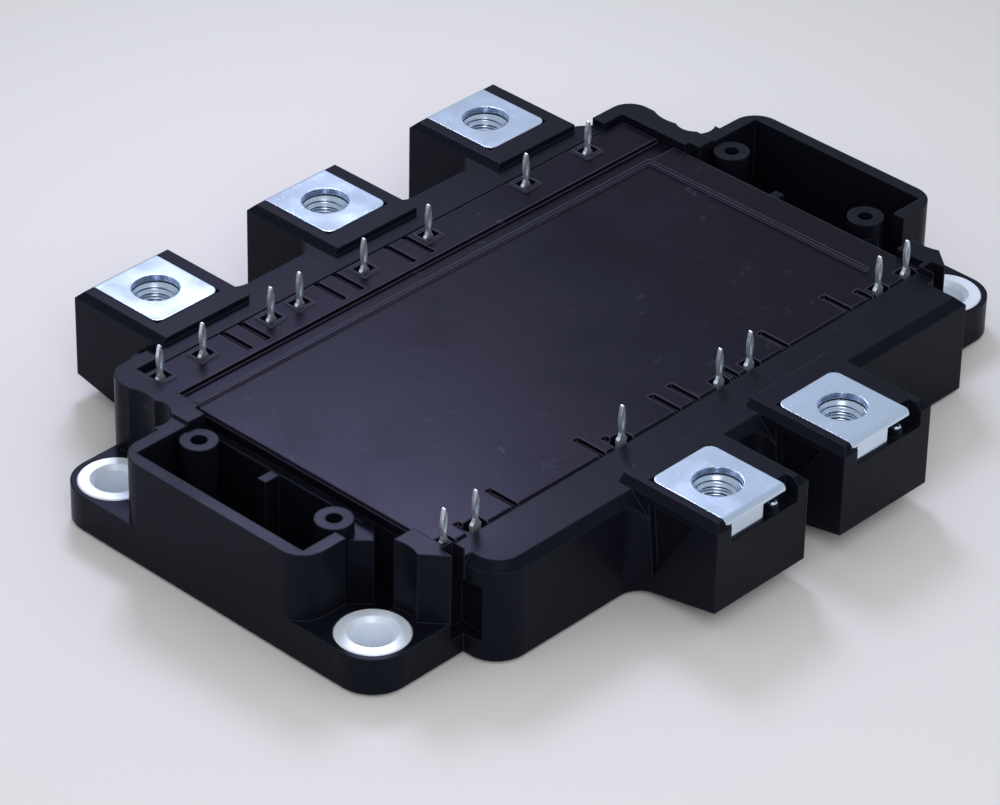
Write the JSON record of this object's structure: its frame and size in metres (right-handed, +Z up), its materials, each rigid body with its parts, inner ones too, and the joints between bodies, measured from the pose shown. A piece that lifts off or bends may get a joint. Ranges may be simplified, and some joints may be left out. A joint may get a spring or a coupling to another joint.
{
  "type": "igbt module",
  "caption": "Flat black power transistor module with plated screw terminals on both long sides, press-fit control pins and sleeved mounting ears.",
  "frame": {"origin": "middle of the base plate's underside, where it meets the heatsink", "axes": "+X along the module, +Y from the two output terminals to the three supply terminals, +Z up out of the heatsink"},
  "size_m": [0.13, 0.103, 0.0213],
  "materials": {
    "housing_plastic": "satin",
    "lid_plastic": "matt",
    "terminal_metal": "satin nickel plating on copper",
    "nut_steel": "zinc plated",
    "sleeve_steel": "bright",
    "pin_tin": "bright tin plating",
    "plated_copper": "nickel plating on copper",
    "ceramic_tile": "etched copper on ceramic",
    "silicon": "polished",
    "ribbon_aluminium": "bright"
  },
  "bodies": {
    "root": {"base_plate": "plated_copper", "sleeve_1": "sleeve_steel", "sleeve_2": "sleeve_steel", "sleeve_3": "sleeve_steel", "sleeve_4": "sleeve_steel", "frame": "housing_plastic", "terminal_dc_plus": "terminal_metal", "nut_1": "nut_steel", "terminal_neutral": "terminal_metal", "nut_2": "nut_steel", "terminal_dc_minus": "terminal_metal", "nut_3": "nut_steel", "terminal_out_1": "terminal_metal", "nut_4": "nut_steel", "terminal_out_2": "terminal_metal", "nut_5": "nut_steel", "pin_01": "pin_tin", "pin_02": "pin_tin", "pin_03": "pin_tin", "pin_04": "pin_tin", "pin_05": "pin_tin", "pin_06": "pin_tin", "pin_07": "pin_tin", "pin_08": "pin_tin", "pin_09": "pin_tin", "pin_10": "pin_tin", "pin_11": "pin_tin", "pin_12": "pin_tin", "pin_13": "pin_tin", "pin_14": "pin_tin", "pin_15": "pin_tin", "lid": "lid_plastic", "tile_left": "ceramic_tile", "tile_middle": "ceramic_tile", "tile_right": "ceramic_tile", "switch_chip_1": "silicon", "diode_chip_1": "silicon", "switch_chip_2": "silicon", "diode_chip_2": "silicon", "switch_chip_3": "silicon", "diode_chip_3": "silicon", "switch_chip_4": "silicon", "diode_chip_4": "silicon", "thermistor": "silicon", "ribbon_1": "ribbon_aluminium", "ribbon_2": "ribbon_aluminium", "ribbon_3": "ribbon_aluminium", "ribbon_4": "ribbon_aluminium"}
  },
  "joints": []
}
